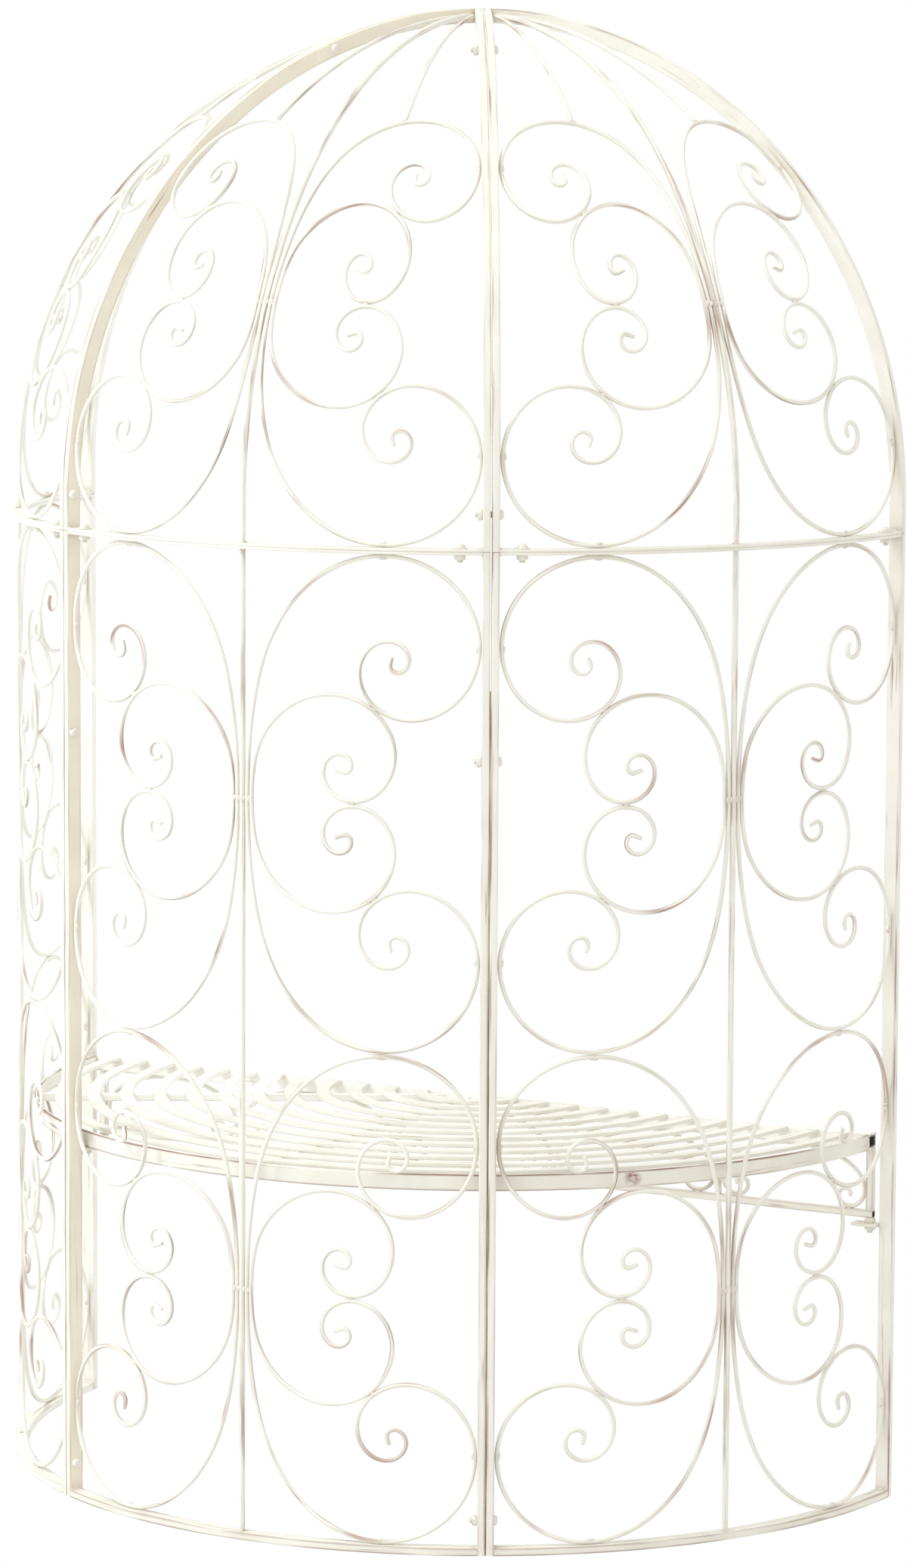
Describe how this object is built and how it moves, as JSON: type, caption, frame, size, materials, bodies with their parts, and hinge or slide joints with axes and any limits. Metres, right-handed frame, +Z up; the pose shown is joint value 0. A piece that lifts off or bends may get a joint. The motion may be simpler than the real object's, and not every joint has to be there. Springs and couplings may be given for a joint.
{
  "type": "gazebo",
  "caption": "Half-round garden gazebo of painted steel: scrollwork wall panels, a half-dome scroll roof and a slatted half-round bench, in worn antique cream",
  "frame": {"origin": "middle of the object's footprint, on the ground", "axes": "+X to the right of someone looking in through the open front, +Y to the closed back, +Z up; the open front faces -Y"},
  "size_m": [1.3, 0.6489, 2.013],
  "materials": {
    "bar_paint": "worn antique cream paint on steel bar",
    "rod_paint": "worn antique cream paint on round steel rod",
    "seat_paint": "worn antique cream paint on steel flats",
    "fastener_paint": "cream paint chipped from zinc-plated fasteners"
  },
  "bodies": {
    "root": {"apron_posts": "seat_paint", "apron_rail": "seat_paint", "apron_scrolls": "rod_paint", "apron_tabs": "seat_paint", "hoop_bolts": "fastener_paint", "hoop_nuts": "fastener_paint", "roof_back_hoop": "bar_paint", "roof_back_inner_scrolls": "rod_paint", "roof_back_left_rib": "bar_paint", "roof_back_mid_rod": "rod_paint", "roof_back_outer_scrolls": "rod_paint", "roof_back_right_rib": "bar_paint", "roof_back_tie_rods": "rod_paint", "roof_left_back_rib": "bar_paint", "roof_left_front_rib": "bar_paint", "roof_left_hoop": "bar_paint", "roof_left_inner_scrolls": "rod_paint", "roof_left_mid_rod": "rod_paint", "roof_left_outer_scrolls": "rod_paint", "roof_left_tie_rods": "rod_paint", "roof_right_back_rib": "bar_paint", "roof_right_front_rib": "bar_paint", "roof_right_hoop": "bar_paint", "roof_right_inner_scrolls": "rod_paint", "roof_right_mid_rod": "rod_paint", "roof_right_outer_scrolls": "rod_paint", "roof_right_tie_rods": "rod_paint", "seam_bolts": "fastener_paint", "seam_nuts": "fastener_paint", "seat_brackets": "seat_paint", "seat_front_bar": "seat_paint", "seat_nuts": "fastener_paint", "seat_rim": "seat_paint", "seat_slats": "seat_paint", "seat_spokes": "seat_paint", "seat_studs": "fastener_paint", "wall_back_base_hoop": "bar_paint", "wall_back_inner_scrolls": "rod_paint", "wall_back_left_upright": "bar_paint", "wall_back_mid_rod": "rod_paint", "wall_back_outer_scrolls_lower": "rod_paint", "wall_back_outer_scrolls_upper": "rod_paint", "wall_back_right_upright": "bar_paint", "wall_back_top_hoop": "bar_paint", "wall_left_back_upright": "bar_paint", "wall_left_base_hoop": "bar_paint", "wall_left_front_upright": "bar_paint", "wall_left_inner_scrolls": "rod_paint", "wall_left_mid_rod": "rod_paint", "wall_left_outer_scrolls_lower": "rod_paint", "wall_left_outer_scrolls_upper": "rod_paint", "wall_left_top_hoop": "bar_paint", "wall_right_back_upright": "bar_paint", "wall_right_base_hoop": "bar_paint", "wall_right_front_upright": "bar_paint", "wall_right_inner_scrolls": "rod_paint", "wall_right_mid_rod": "rod_paint", "wall_right_outer_scrolls_lower": "rod_paint", "wall_right_outer_scrolls_upper": "rod_paint", "wall_right_top_hoop": "bar_paint"}
  },
  "joints": []
}
